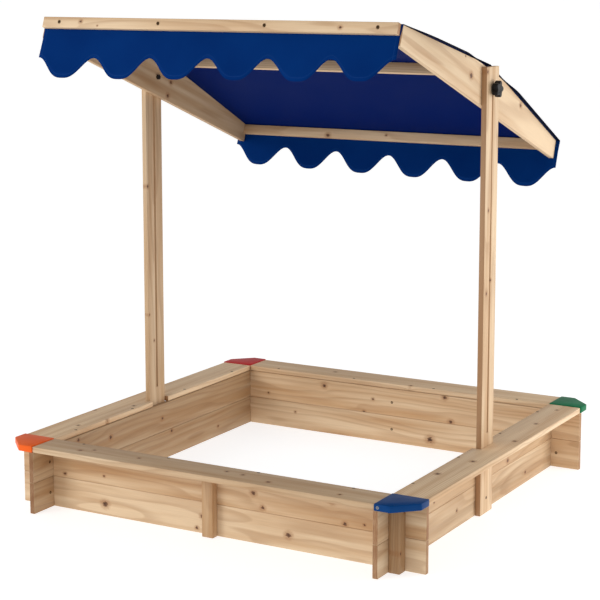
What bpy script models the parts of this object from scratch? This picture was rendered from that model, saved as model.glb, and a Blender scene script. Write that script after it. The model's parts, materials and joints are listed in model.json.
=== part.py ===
"""Square wooden sandbox with seat boards and a canopy that slides up and down two posts and tilts.

Metres, +Z up. The origin is on the ground, in the middle of the box. X runs from left to right,
Y from the front edge to the back edge. The canopy is drawn tilted, its front edge raised.
"""
import math

import bmesh
import bpy
from mathutils import Vector

# ---------------------------------------------------------------- driving dimensions
GAP = 0.0003                # air left between touching pieces

HALF = 0.590                # centre to the outer edge of a corner cap
PLANK_INNER = 0.490         # centre to a side plank's inner face
PLANK_THICK = 0.014
PLANK_HEIGHT = 0.0815       # one course; two courses make a side
PLANK_END = 0.5875          # centre to a plank's end, past the crossing
COURSES = 2

SEAT_INNER = 0.4935         # centre to a seat board's inner edge
SEAT_OUTER = 0.5865
SEAT_THICK = 0.015
CAP_THICK = 0.017
CAP_STRAIGHT = 0.042        # what is left of the cap's outer sides beside its cut corner

CORNER_BATTEN = 0.030       # square section
MID_BATTEN = (0.032, 0.022)  # along the plank, out from the plank

POST_WIDE = 0.076
POST_THICK = 0.0145
POST_HEIGHT = 1.152
SLOT_WIDE = 0.0086
SLOT_LOW = 0.213            # lowest point of the slot
SLOT_HIGH = 1.1012          # highest point of the slot
NOTCH_CLEAR = 0.001         # room around a post in its seat board

PIVOT_HEIGHT = 1.0965       # bolt's height with the canopy up
REST_TILT = math.radians(19.7)

RAFTER_THICK = 0.014
RAFTER_HALF = 0.506         # middle to end
RAFTER_BELOW = 0.050        # bolt to the straight bottom edge
RAFTER_END_TOP = 0.0        # bolt level to the top edge at both ends
RAFTER_SLOPE = 0.1165       # rise of the top edge towards the middle
RAFTER_ROUND = 0.160        # half length of the rounded top
RIDGE_UNDER = 0.0612        # bolt to the cover's underside at the ridge
COVER_THICK = 0.0012
COVER_HALF = 0.5155         # middle to the cover's side edge
COVER_AT_POST = 0.5030      # side edge beside a post
VALANCE_HALF = {"front": 0.5000, "rear": 0.5140}   # side edge of a valance, below its fold
POST_BAY = (0.082, 0.100)   # the side edge steps in from the second of these to the first
VALANCE_NOTCH = {"front": 0.0920, "rear": 0.0675}  # bolt level to the top of a scallop's notch
VALANCE_SKEW = {"front": -0.010, "rear": 0.008}    # how much deeper it hangs at its right end
SCALLOPS = 6
SCALLOP_DEEP = {"front": 0.0535, "rear": 0.0580}
SCALLOP_POWER = 3.0         # over 2 makes the notches narrower than the lobes
SCALLOP_STEPS = 8           # columns of faces in one lobe

BAR = (0.014, 0.028)        # section of beams and strips: thick, high
STRIP_HALF = 0.499
STRIP_TOP = 0.0015
RIDGE_BEAM_TOP = 0.060

BOLT_RADIUS = 0.004
BOLT_HOLE = 0.0043
BOLT_HEAD = (0.0065, 0.0053)   # half the width across flats, thickness
WASHER = (0.012, 0.0043, 0.0016)  # outer radius, hole radius, thickness
KNOB_RADIUS = 0.0215        # to the tip of a lobe
KNOB_VALLEY = 0.0153        # to the bottom between two lobes
KNOB_LOBES = 5
KNOB_HUB = (0.0125, 0.002)  # radius, height of the boss against the washer
KNOB_THICK = 0.016
INSERT = (0.006, 0.012)     # radius and length of the threaded bush in a knob
INSERT_PAST_BOLT = 0.001    # how far the bush reaches past the bolt's end
THREAD_CLEAR = 0.0001

SCREW_HEAD = (0.004, 0.0028)   # radius and depth of the countersunk head
SCREW_SHANK = 0.0019
SCREW_LENGTH = 0.026
SCREW_POINT = 0.004         # length of the tapered tip
SCREW_TIP = 0.0004          # radius at the very end
SCREW_CLEAR = 0.0004
STRIP_SCREWS_X = (-0.448, -0.150, 0.150, 0.448)

OVERCUT = 0.002             # how far a cutter sticks out of what it cuts

CORNERS = (("front_left", -1, -1), ("front_right", 1, -1), ("back_right", 1, 1), ("back_left", -1, 1))
CAP_PAINT = {"front_left": "orange_paint", "front_right": "blue_paint",
             "back_right": "green_paint", "back_left": "red_paint"}

# ---------------------------------------------------------------- worked out from them
PLANK_OUTER = PLANK_INNER + PLANK_THICK
WALL_TOP = COURSES * (PLANK_HEIGHT + GAP) - GAP
SEAT_BOTTOM = WALL_TOP + GAP
SEAT_TOP = SEAT_BOTTOM + SEAT_THICK
POST_INNER = PLANK_OUTER + GAP
POST_OUTER = POST_INNER + POST_THICK
RAFTER_INNER = PLANK_OUTER - RAFTER_THICK
BEAM_HALF = RAFTER_INNER - GAP
COVER_END = RAFTER_HALF + GAP       # inner face of a hanging valance

# ---------------------------------------------------------------- colours and finishes
FINISHES = {
    # name: base colour, roughness, metallic
    "pine": ((0.78, 0.60, 0.42, 1), 0.60, 0.0),
    "orange_paint": ((0.85, 0.22, 0.05, 1), 0.45, 0.0),
    "blue_paint": ((0.03, 0.16, 0.42, 1), 0.45, 0.0),
    "green_paint": ((0.02, 0.26, 0.14, 1), 0.45, 0.0),
    "red_paint": ((0.50, 0.06, 0.06, 1), 0.45, 0.0),
    "navy_cloth": ((0.01, 0.04, 0.16, 1), 0.55, 0.0),
    "black_plastic": ((0.02, 0.02, 0.02, 1), 0.40, 0.0),
    "zinc_steel": ((0.55, 0.55, 0.56, 1), 0.35, 1.0),
    "dark_screw": ((0.16, 0.12, 0.07, 1), 0.40, 1.0),
    "brass": ((0.72, 0.55, 0.25, 1), 0.30, 1.0),
}


def finish(name):
    """The material of that name, made on first use."""
    if name in bpy.data.materials:
        return bpy.data.materials[name]
    colour, rough, metal = FINISHES[name]
    made = bpy.data.materials.new(name)
    made.use_nodes = True
    shader = made.node_tree.nodes["Principled BSDF"]
    shader.inputs["Base Color"].default_value = colour
    shader.inputs["Roughness"].default_value = rough
    shader.inputs["Metallic"].default_value = metal
    made.diffuse_color = colour
    return made


# ---------------------------------------------------------------- small helpers
def clear_scene():
    for old in list(bpy.data.objects):
        bpy.data.objects.remove(old, do_unlink=True)


def add_empty(name, parent=None, location=(0, 0, 0), tilt=0.0):
    """A joint's frame: an empty on the joint's axis."""
    made = bpy.data.objects.new(name, None)
    bpy.context.collection.objects.link(made)
    made.location = location
    made.rotation_euler = (tilt, 0, 0)
    made.parent = parent
    return made


def add_object(name, bm, material, parent, location=(0, 0, 0), smooth=False):
    """Ends a bmesh as a named object, its faces pointing out."""
    bmesh.ops.recalc_face_normals(bm, faces=bm.faces)
    mesh = bpy.data.meshes.new(name)
    bm.to_mesh(mesh)
    bm.free()
    if smooth:
        mesh.shade_smooth()
        mesh.set_sharp_from_angle(angle=math.radians(35))
    mesh.materials.append(finish(material))
    made = bpy.data.objects.new(name, mesh)
    bpy.context.collection.objects.link(made)
    made.location = location
    made.parent = parent
    return made


def place(along, up, across, axis):
    """A point of an outline, with its normal on the given axis."""
    if axis == "X":
        return Vector((across, along, up))
    if axis == "Y":
        return Vector((along, across, up))
    return Vector((along, up, across))


def add_prism(name, outline, axis, start, depth, material, parent, location=(0, 0, 0)):
    """A flat outline extruded along an axis. An outline point is (y, z), (x, z) or (x, y)."""
    bm = bmesh.new()
    ring = [bm.verts.new(place(a, b, start, axis)) for a, b in outline]
    face = bm.faces.new(ring)
    grown = bmesh.ops.extrude_face_region(bm, geom=[face])
    moved = [part for part in grown["geom"] if isinstance(part, bmesh.types.BMVert)]
    bmesh.ops.translate(bm, verts=moved, vec=place(0, 0, depth, axis))
    return add_object(name, bm, material, parent, location)


def add_box(name, low, high, material, parent):
    """A sawn piece between two corners, its origin in its middle."""
    low, high = Vector(low), Vector(high)
    bm = bmesh.new()
    bmesh.ops.create_cube(bm, size=1.0)
    bmesh.ops.scale(bm, vec=high - low, verts=bm.verts)
    return add_object(name, bm, material, parent, (low + high) / 2)


def add_turned(name, profile, axis, sign, material, parent, location, steps=16):
    """A turned piece: (distance along the axis, radius) from one end to the other."""
    bm = bmesh.new()
    ends = [(profile[0][0], 0.0)] + list(profile) + [(profile[-1][0], 0.0)]
    line = []
    for distance, radius in ends:
        at = (sign * distance, radius, 0) if axis == "X" else (radius, sign * distance, 0)
        line.append(bm.verts.new(at))
    edges = [bm.edges.new(pair) for pair in zip(line, line[1:])]
    around = (1, 0, 0) if axis == "X" else (0, 1, 0)
    bmesh.ops.spin(bm, geom=line + edges, cent=(0, 0, 0), axis=around,
                   angle=2 * math.pi, steps=steps, use_merge=True)
    bmesh.ops.remove_doubles(bm, verts=bm.verts, dist=1e-6)
    return add_object(name, bm, material, parent, location, smooth=True)


def cut(target, cutter):
    """Takes the cutter's shape out of the target; the cutter stays as a wire guide."""
    cutter.hide_render = True
    cutter.display_type = "WIRE"
    cutter.data.materials.clear()
    bite = target.modifiers.new(cutter.name, "BOOLEAN")
    bite.operation = "DIFFERENCE"
    bite.solver = "EXACT"
    bite.object = cutter


def mirrored(outline, sign):
    """The outline, or its mirror image across the second axis."""
    return [(sign * a, b) for a, b in outline]


# ---------------------------------------------------------------- the box's four walls
def halved_outline(course, notch_from_top):
    """A plank seen from its broad side, with half its height cut away at both crossings."""
    low = course * (PLANK_HEIGHT + GAP)
    high = low + PLANK_HEIGHT
    middle = (low + high) / 2
    near, far = PLANK_INNER - GAP, PLANK_OUTER + GAP
    if notch_from_top:
        floor = middle - GAP / 2
        return [(-PLANK_END, low), (PLANK_END, low), (PLANK_END, high),
                (far, high), (far, floor), (near, floor), (near, high),
                (-near, high), (-near, floor), (-far, floor), (-far, high), (-PLANK_END, high)]
    roof = middle + GAP / 2
    return [(-PLANK_END, high), (-PLANK_END, low), (-far, low), (-far, roof), (-near, roof),
            (-near, low), (near, low), (near, roof), (far, roof), (far, low),
            (PLANK_END, low), (PLANK_END, high)]


def build_walls(base):
    for course, level in enumerate(("lower", "upper")):
        for side, sign in (("front", -1), ("back", 1)):
            start = PLANK_INNER if sign > 0 else -PLANK_OUTER
            add_prism(f"plank_{side}_{level}", halved_outline(course, False),
                      "Y", start, PLANK_THICK, "pine", base)
        for side, sign in (("left", -1), ("right", 1)):
            start = PLANK_INNER if sign > 0 else -PLANK_OUTER
            plank = add_prism(f"plank_{side}_{level}", halved_outline(course, True),
                              "X", start, PLANK_THICK, "pine", base)
            drill_pilot(plank, sign, course)


def drill_pilot(plank, sign, course):
    """The pilot hole that a post's screw needs in a side plank."""
    depth = SCREW_LENGTH - POST_THICK + OVERCUT / 2
    radius = SCREW_SHANK + SCREW_CLEAR
    mouth = (sign * (PLANK_OUTER + OVERCUT / 2), 0, course_middle(course))
    hole = add_turned(f"{plank.name}_pilot", [(0, radius), (depth + OVERCUT / 2, radius)],
                      "X", -sign, "pine", plank.parent, mouth, steps=8)
    cut(plank, hole)


def course_middle(course):
    return course * (PLANK_HEIGHT + GAP) + PLANK_HEIGHT / 2


def build_battens(base):
    near = PLANK_OUTER + GAP
    far = near + CORNER_BATTEN
    for name, sx, sy in CORNERS:
        xs, ys = sorted((sx * near, sx * far)), sorted((sy * near, sy * far))
        add_box(f"corner_batten_{name}", (xs[0], ys[0], 0), (xs[1], ys[1], WALL_TOP), "pine", base)
    wide, deep = MID_BATTEN
    for side, sign in (("front", -1), ("back", 1)):
        ys = sorted((sign * near, sign * (near + deep)))
        add_box(f"mid_batten_{side}", (-wide / 2, ys[0], 0), (wide / 2, ys[1], WALL_TOP),
                "pine", base)


# ---------------------------------------------------------------- seat boards and corner caps
def build_seats(base):
    end = SEAT_INNER - GAP
    for side, sign in (("front", -1), ("back", 1)):
        ys = sorted((sign * SEAT_INNER, sign * SEAT_OUTER))
        add_box(f"seat_{side}", (-end, ys[0], SEAT_BOTTOM), (end, ys[1], SEAT_TOP), "pine", base)
    half_bay = POST_WIDE / 2 + NOTCH_CLEAR
    bay_depth = POST_OUTER + NOTCH_CLEAR
    outline = [(SEAT_INNER, -end), (SEAT_OUTER, -end), (SEAT_OUTER, end), (SEAT_INNER, end),
               (SEAT_INNER, half_bay), (bay_depth, half_bay),
               (bay_depth, -half_bay), (SEAT_INNER, -half_bay)]
    for side, sign in (("left", -1), ("right", 1)):
        add_prism(f"seat_{side}", mirrored(outline, sign), "Z", SEAT_BOTTOM, SEAT_THICK,
                  "pine", base)


def build_caps(base):
    inner, cut_at = SEAT_INNER, SEAT_INNER + CAP_STRAIGHT
    outline = [(inner, inner), (HALF, inner), (HALF, cut_at), (cut_at, HALF), (inner, HALF)]
    for name, sx, sy in CORNERS:
        corner = [(sx * a, sy * b) for a, b in outline]
        add_prism(f"corner_cap_{name}", corner, "Z", SEAT_BOTTOM, CAP_THICK,
                  CAP_PAINT[name], base)


# ---------------------------------------------------------------- posts
def stadium(low, high, half_wide, steps=8):
    """A slot's outline, with round ends."""
    points = []
    for end, centre, start in ((high, high - half_wide, 0), (low, low + half_wide, math.pi)):
        for i in range(steps + 1):
            angle = start + math.pi * i / steps
            points.append((half_wide * math.cos(angle), centre + half_wide * math.sin(angle)))
    return points


def build_posts(base):
    for side, sign in (("left", -1), ("right", 1)):
        start = min(sign * POST_INNER, sign * POST_OUTER)
        half = POST_WIDE / 2
        outline = [(-half, 0), (half, 0), (half, POST_HEIGHT), (-half, POST_HEIGHT)]
        post = add_prism(f"post_{side}", outline, "X", start, POST_THICK, "pine", base)
        slot = add_prism(f"post_{side}_slot", stadium(SLOT_LOW, SLOT_HIGH, SLOT_WIDE / 2),
                         "X", start - OVERCUT, POST_THICK + 2 * OVERCUT, "pine", base)
        cut(post, slot)
        for course, level in enumerate(("lower", "upper")):
            at = (sign * POST_OUTER, 0, course_middle(course))
            add_screw(f"post_screw_{side}_{level}", "X", -sign, base, at)
            seat_for_screw(post, level, "X", -sign, base, at)


def screw_profile(extra=0.0):
    """Countersunk wood screw from its face to its tip; extra widens it into its hole."""
    head, deep = SCREW_HEAD
    return [(0, head + extra), (deep, SCREW_SHANK + extra),
            (SCREW_LENGTH - SCREW_POINT + extra, SCREW_SHANK + extra),
            (SCREW_LENGTH + extra, SCREW_TIP)]


def add_screw(name, axis, sign, parent, at):
    add_turned(name, screw_profile(), axis, sign, "dark_screw", parent, at, steps=10)


def seat_for_screw(target, tag, axis, sign, parent, at):
    """The countersunk hole that a screw's head and shank sit in."""
    profile = [(-OVERCUT, SCREW_HEAD[0] + SCREW_CLEAR)] + screw_profile(SCREW_CLEAR)
    hole = add_turned(f"{target.name}_hole_{tag}", profile, axis, sign, "pine", parent, at, steps=10)
    cut(target, hole)


# ---------------------------------------------------------------- clamp bolts and knobs
def build_bolts(carrier):
    """Bolts and washers: they ride up and down the slots together."""
    half_flats, head = BOLT_HEAD
    outer, hole, thick = WASHER
    corner = half_flats / math.cos(math.pi / 6)
    hexagon = [(corner * math.cos(math.pi * i / 3), corner * math.sin(math.pi * i / 3))
               for i in range(6)]
    under_head = RAFTER_INNER - GAP
    shank_start = under_head - head / 2     # inside the head
    washer_at = POST_OUTER + GAP
    bolt_end = washer_at + thick + GAP + KNOB_HUB[1] + INSERT[1] - INSERT_PAST_BOLT
    for side, sign in (("left", -1), ("right", 1)):
        bolt = add_turned(f"pivot_bolt_{side}",
                          [(0, BOLT_RADIUS), (bolt_end - shank_start, BOLT_RADIUS)],
                          "X", sign, "zinc_steel", carrier, (sign * shank_start, 0, 0), steps=20)
        cap = add_prism(f"pivot_bolt_{side}_head", hexagon, "X", 0, head, "zinc_steel", carrier,
                        (sign * (under_head - head / 2) - head / 2, 0, 0))
        join(bolt, cap)
        ring = add_turned(f"washer_{side}", [(0, outer), (thick, outer)],
                          "X", sign, "zinc_steel", carrier, (sign * washer_at, 0, 0), steps=28)
        eye = add_turned(f"washer_{side}_eye", [(-OVERCUT, hole), (thick + OVERCUT, hole)],
                         "X", sign, "zinc_steel", carrier, (sign * washer_at, 0, 0), steps=20)
        cut(ring, eye)


def join(target, other):
    """Makes one solid of two that meet; the second is only a guide afterwards."""
    other.hide_render = True
    other.display_type = "WIRE"
    other.data.materials.clear()
    weld = target.modifiers.new(other.name, "BOOLEAN")
    weld.operation = "UNION"
    weld.solver = "EXACT"
    weld.object = other


def knob_outline(steps_per_lobe=10):
    """Round lobes: the radius swings between the tips and the valleys."""
    middle = (KNOB_RADIUS + KNOB_VALLEY) / 2
    swing = (KNOB_RADIUS - KNOB_VALLEY) / 2
    count = KNOB_LOBES * steps_per_lobe
    points = []
    for i in range(count):
        angle = 2 * math.pi * i / count
        radius = middle + swing * math.cos(KNOB_LOBES * angle)
        points.append((radius * math.sin(angle), radius * math.cos(angle)))
    return points


def build_knobs(carrier):
    """Each knob is an object of its own on its bolt, with a threaded bush moulded in."""
    foot = POST_OUTER + GAP + WASHER[2] + GAP
    hub_radius, hub = KNOB_HUB
    bush_radius, bush_length = INSERT
    reach = hub + bush_length
    bore_radius = BOLT_RADIUS + THREAD_CLEAR
    for side, sign in (("left", -1), ("right", 1)):
        axis = add_empty(f"{side}_knob_axis", carrier, (sign * foot, 0, 0))
        star_start = hub if sign > 0 else -(hub + KNOB_THICK)
        knob = add_prism(f"knob_{side}", knob_outline(), "X", star_start, KNOB_THICK,
                         "black_plastic", axis)
        boss = add_turned(f"knob_{side}_boss", [(0, hub_radius), (hub + KNOB_THICK / 4, hub_radius)],
                          "X", sign, "black_plastic", axis, (0, 0, 0), steps=24)
        join(knob, boss)
        pocket = add_turned(f"knob_{side}_pocket",
                            [(-OVERCUT, bush_radius + GAP), (reach + GAP, bush_radius + GAP)],
                            "X", sign, "black_plastic", axis, (0, 0, 0), steps=20)
        cut(knob, pocket)
        bush = add_turned(f"knob_insert_{side}", [(0, bush_radius), (reach, bush_radius)],
                          "X", sign, "brass", axis, (0, 0, 0), steps=20)
        bore = add_turned(f"knob_insert_{side}_bore",
                          [(-OVERCUT, bore_radius), (reach + OVERCUT, bore_radius)],
                          "X", sign, "brass", axis, (0, 0, 0), steps=20)
        cut(bush, bore)


# ---------------------------------------------------------------- canopy frame
def rafter_outline(steps=12):
    """Straight bottom edge; the top edge rises from both ends into a wide round."""
    slope = math.atan(RAFTER_SLOPE)
    radius = RAFTER_ROUND / math.sin(slope)
    tangent_height = RAFTER_END_TOP + RAFTER_SLOPE * (RAFTER_HALF - RAFTER_ROUND)
    centre = tangent_height - radius * math.cos(slope)
    points = [(-RAFTER_HALF, -RAFTER_BELOW), (RAFTER_HALF, -RAFTER_BELOW),
              (RAFTER_HALF, RAFTER_END_TOP)]
    for i in range(steps + 1):
        angle = slope * (1 - 2 * i / steps)
        points.append((radius * math.sin(angle), centre + radius * math.cos(angle)))
    points.append((-RAFTER_HALF, RAFTER_END_TOP))
    return points


def build_rafters(canopy):
    for side, sign in (("left", -1), ("right", 1)):
        start = RAFTER_INNER if sign > 0 else -PLANK_OUTER
        rafter = add_prism(f"rafter_{side}", rafter_outline(), "X", start, RAFTER_THICK,
                           "pine", canopy)
        hole = add_turned(f"rafter_{side}_hole",
                          [(-OVERCUT, BOLT_HOLE), (RAFTER_THICK + OVERCUT, BOLT_HOLE)],
                          "X", sign, "pine", canopy, (sign * RAFTER_INNER, 0, 0), steps=20)
        cut(rafter, hole)


def build_beams(canopy):
    thick, high = BAR
    add_box("ridge_beam", (-BEAM_HALF, -thick / 2, RIDGE_BEAM_TOP - high),
            (BEAM_HALF, thick / 2, RIDGE_BEAM_TOP), "pine", canopy)
    for side, sign in (("front", -1), ("rear", 1)):
        ys = sorted((sign * RAFTER_HALF, sign * (RAFTER_HALF - thick)))
        beam = add_box(f"inner_beam_{side}", (-BEAM_HALF, ys[0], RAFTER_END_TOP - high),
                       (BEAM_HALF, ys[1], RAFTER_END_TOP), "pine", canopy)
        near = COVER_END + COVER_THICK + GAP
        ys = sorted((sign * near, sign * (near + thick)))
        strip = add_box(f"clamp_strip_{side}", (-STRIP_HALF, ys[0], STRIP_TOP - high),
                        (STRIP_HALF, ys[1], STRIP_TOP), "pine", canopy)
        for number, x in enumerate(STRIP_SCREWS_X, 1):
            at = (x, sign * (near + thick), STRIP_TOP - high / 2)
            add_screw(f"strip_screw_{side}_{number}", "Y", -sign, canopy, at)
            seat_for_screw(strip, str(number), "Y", -sign, canopy, at)
            seat_for_screw(beam, str(number), "Y", -sign, canopy, at)


# ---------------------------------------------------------------- canopy cover
def valance_drop(side, share, hem):
    """How far a valance hangs below the bolt's level; the share runs from -1 at the left to 1."""
    along = (share + 1) / 2 * SCALLOPS
    scallop = SCALLOP_DEEP[side] * (1 - abs(math.cos(math.pi * along)) ** SCALLOP_POWER)
    return VALANCE_NOTCH[side] + VALANCE_SKEW[side] * share + hem * scallop


def cover_stations():
    """The cover's path from the front hem over the ridge to the rear hem: (y, z, hem share)."""
    run = COVER_END
    ridge = RIDGE_UNDER
    fold = RAFTER_END_TOP + GAP
    on_slope = [(y, fold + (ridge - fold) * (1 - y / run)) for y in (run / 2, POST_BAY[1], POST_BAY[0])]
    stations = [("front", -run, None, 1.0), ("front", -run, None, 0.0), ("front", -run, fold, 0.0)]
    stations += [("front", -y, z, 0.0) for y, z in on_slope]
    stations.append(("front", 0.0, ridge, 0.0))
    stations += [("rear", y, z, 0.0) for y, z in reversed(on_slope)]
    stations += [("rear", run, fold, 0.0), ("rear", run, None, 0.0), ("rear", run, None, 1.0)]
    return stations


def build_cover(canopy):
    """One sheet: two slopes over the ridge and a scalloped valance at the front and the rear."""
    bm = bmesh.new()
    columns = SCALLOPS * SCALLOP_STEPS
    rows = []
    for side, y, z, hem in cover_stations():
        hangs = z is None
        row = []
        for i in range(columns + 1):
            share = 2 * i / columns - 1
            x = share * (VALANCE_HALF[side] if hangs else COVER_HALF)
            height = -valance_drop(side, share, hem) if hangs else z
            if abs(y) <= POST_BAY[0]:
                x = max(-COVER_AT_POST, min(COVER_AT_POST, x))
            row.append(bm.verts.new((x, y, height)))
        rows.append(row)
    for low, high in zip(rows, rows[1:]):
        for a, b, c, d in zip(low, low[1:], high[1:], high):
            if (a.co - b.co).length > 1e-6 or (c.co - d.co).length > 1e-6:
                bm.faces.new((a, b, c, d))
    bmesh.ops.remove_doubles(bm, verts=bm.verts, dist=1e-6)
    cover = add_object("canopy_cover", bm, "navy_cloth", canopy)
    upward = sum((face.normal.z * face.area for face in cover.data.polygons), 0.0)
    if upward < 0:
        cover.data.flip_normals()
    thick = cover.modifiers.new("cloth thickness", "SOLIDIFY")
    thick.thickness = COVER_THICK
    thick.offset = 1.0
    thick.use_even_offset = True
    radius = SCREW_SHANK + SCREW_CLEAR
    through = [(-OVERCUT, radius), (COVER_THICK + OVERCUT, radius)]
    for side, sign in (("front", -1), ("rear", 1)):
        for number, x in enumerate(STRIP_SCREWS_X, 1):
            at = (x, sign * COVER_END, STRIP_TOP - BAR[1] / 2)
            hole = add_turned(f"cover_hole_{side}_{number}", through,
                              "Y", sign, "navy_cloth", canopy, at, steps=10)
            cut(cover, hole)


# ---------------------------------------------------------------- assembly
def main():
    clear_scene()
    base = add_empty("base")
    carrier = add_empty("canopy_carrier", None, (0, 0, PIVOT_HEIGHT))
    canopy = add_empty("canopy", carrier, (0, 0, 0), -REST_TILT)
    build_walls(base)
    build_battens(base)
    build_seats(base)
    build_caps(base)
    build_posts(base)
    build_bolts(carrier)
    build_knobs(carrier)
    build_rafters(canopy)
    build_beams(canopy)
    build_cover(canopy)


main()
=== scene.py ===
# %% [markdown]
# # A square wooden sandbox under a blue canopy
# The object is a box of half-lapped planks with seat boards, painted corner caps and two slotted
# posts that carry a tilting canopy. Its sizes and joints come packed, as a frame of plain solids.
# This lesson gives each of them its finished look: eased timber edges, grain and knots, paint,
# hanging cloth, moulded knobs and real screw heads.

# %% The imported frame
import json
import math
import random

import bmesh
import bpy
from mathutils import Euler, Matrix, Vector, noise


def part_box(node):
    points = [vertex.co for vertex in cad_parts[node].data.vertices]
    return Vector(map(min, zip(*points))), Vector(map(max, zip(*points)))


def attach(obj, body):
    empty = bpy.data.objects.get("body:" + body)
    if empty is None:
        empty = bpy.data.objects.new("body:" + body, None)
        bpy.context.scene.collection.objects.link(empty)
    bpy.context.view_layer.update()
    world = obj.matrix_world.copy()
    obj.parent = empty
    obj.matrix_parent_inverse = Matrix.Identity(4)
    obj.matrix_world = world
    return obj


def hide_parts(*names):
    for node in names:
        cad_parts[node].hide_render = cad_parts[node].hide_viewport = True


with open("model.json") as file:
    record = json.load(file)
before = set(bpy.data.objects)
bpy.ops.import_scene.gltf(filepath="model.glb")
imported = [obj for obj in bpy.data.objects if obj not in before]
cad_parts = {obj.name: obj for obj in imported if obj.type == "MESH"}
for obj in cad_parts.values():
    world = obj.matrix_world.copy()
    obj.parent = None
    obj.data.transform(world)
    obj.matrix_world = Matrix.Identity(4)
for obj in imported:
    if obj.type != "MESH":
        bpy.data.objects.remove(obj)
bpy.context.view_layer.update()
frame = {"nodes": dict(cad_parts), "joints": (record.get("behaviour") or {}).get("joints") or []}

# %% [markdown]
# ## The canopy's own axes
# Everything on the canopy leans with it, so its pieces are easiest to make level and turned
# afterwards. The hinge says where the axis is. The lean is read from the ridge: the middle of the
# front beam and of the rear beam lie on one line, and the angle of that line is the lean.

# %% Canopy axes
hinge = next(joint for joint in frame["joints"] if joint["name"] == "canopy_tilt")
PIVOT = Vector(hinge["pos_m"])


def middle(name):
    low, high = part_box(name)
    return (low + high) / 2


beam_line = middle("inner_beam_rear") - middle("inner_beam_front")
LEAN = math.atan2(-beam_line.z, beam_line.y)
TO_CANOPY = Matrix.Translation(PIVOT) @ Matrix.Rotation(-LEAN, 4, "X")
print("canopy leans by", round(math.degrees(LEAN), 2), "degrees")

# %% [markdown]
# ## Camera
# A long lens from a few metres away, at a child's head height and a third of the way round to the
# right side, keeps the posts nearly parallel. A small downward shift of the view leaves the posts
# upright in the picture and the whole floor plan in sight.

# %% Camera
CAMERA_PLACE = (2.2509, -4.0241, 1.3836)
CAMERA_LENS = 104.55    # millimetres
CAMERA_TURN = 29.6      # degrees round to the right side
CAMERA_DIP = 8.73       # degrees below the horizon
CAMERA_SHIFT = -0.1

camera_data = bpy.data.cameras.new("camera")
camera_data.lens = CAMERA_LENS
camera_data.shift_y = CAMERA_SHIFT
camera = bpy.data.objects.new("camera", camera_data)
camera.location = CAMERA_PLACE
camera.rotation_euler = (math.radians(90 - CAMERA_DIP), 0, math.radians(CAMERA_TURN))
bpy.context.collection.objects.link(camera)
bpy.context.scene.camera = camera

# %% [markdown]
# ## Node helpers
# A procedural material is arithmetic on a position. Two small helpers keep that readable: one adds
# a node with its settings, the other adds one step of arithmetic and hands back its result.

# %% Node helpers
def new_material(name):
    material = bpy.data.materials.new(name)
    material.use_nodes = True
    tree = material.node_tree
    return material, tree, tree.nodes["Principled BSDF"]


def add_node(tree, kind, inputs=None, **settings):
    made = tree.nodes.new("ShaderNode" + kind)
    for name, value in settings.items():
        setattr(made, name, value)
    for name, value in (inputs or {}).items():
        feed(tree, made.inputs[name], value)
    return made


def feed(tree, socket, value):
    """Sets a socket to a number, or links it to another node's result."""
    if isinstance(value, bpy.types.NodeSocket):
        tree.links.new(value, socket)
    else:
        socket.default_value = value


def calc(tree, operation, *values, clamp=False):
    made = add_node(tree, "Math", operation=operation, use_clamp=clamp)
    for socket, value in zip(made.inputs, values):
        feed(tree, socket, value)
    return made.outputs[0]


def vector_calc(tree, operation, a, b):
    made = add_node(tree, "VectorMath", operation=operation)
    feed(tree, made.inputs[0], a)
    feed(tree, made.inputs[1], b)
    return made.outputs["Value" if operation == "DOT_PRODUCT" else "Vector"]


def step_between(tree, value, low, high, to_low=0.0, to_high=1.0):
    """A smooth step: to_low below low, to_high above high."""
    made = add_node(tree, "MapRange", interpolation_type="SMOOTHSTEP")
    for socket, number in zip(made.inputs, (value, low, high, to_low, to_high)):
        feed(tree, socket, number)
    return made.outputs[0]


def mix_colours(tree, share, first, second, blend="MIX"):
    made = add_node(tree, "Mix", data_type="RGBA", blend_type=blend)
    feed(tree, made.inputs[0], share)
    feed(tree, made.inputs[6], first)
    feed(tree, made.inputs[7], second)
    return made.outputs[2]


def noise_at(tree, vector, scale, detail=3.0, roughness=0.5):
    made = add_node(tree, "TexNoise", {"Vector": vector, "Scale": scale, "Detail": detail,
                                       "Roughness": roughness})
    return made.outputs


def bump(tree, shader, height, strength, distance):
    made = add_node(tree, "Bump", {"Height": height, "Strength": strength, "Distance": distance})
    tree.links.new(made.outputs[0], shader.inputs["Normal"])


def linear(red, green, blue):
    """A colour as a paint chart gives it, 0 to 255, in the linear values that shaders use."""
    def one(value):
        value /= 255
        return value / 12.92 if value <= 0.04045 else ((value + 0.055) / 1.055) ** 2.4
    return (one(red), one(green), one(blue), 1.0)


# %% [markdown]
# ## Solid timber
# A board is cut from a trunk, so its grain is the growth rings of that trunk, seen on the board's
# faces. The material works the same way: it measures how far each point is from the trunk's heart
# line, warps that a little, and colours it by rings. Faces then show long flames, and sawn ends
# show arcs, with no mapping by hand. Knots are branches that ran outward, so each is a round mark
# through the board, and the rings are pushed aside round it.

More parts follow.
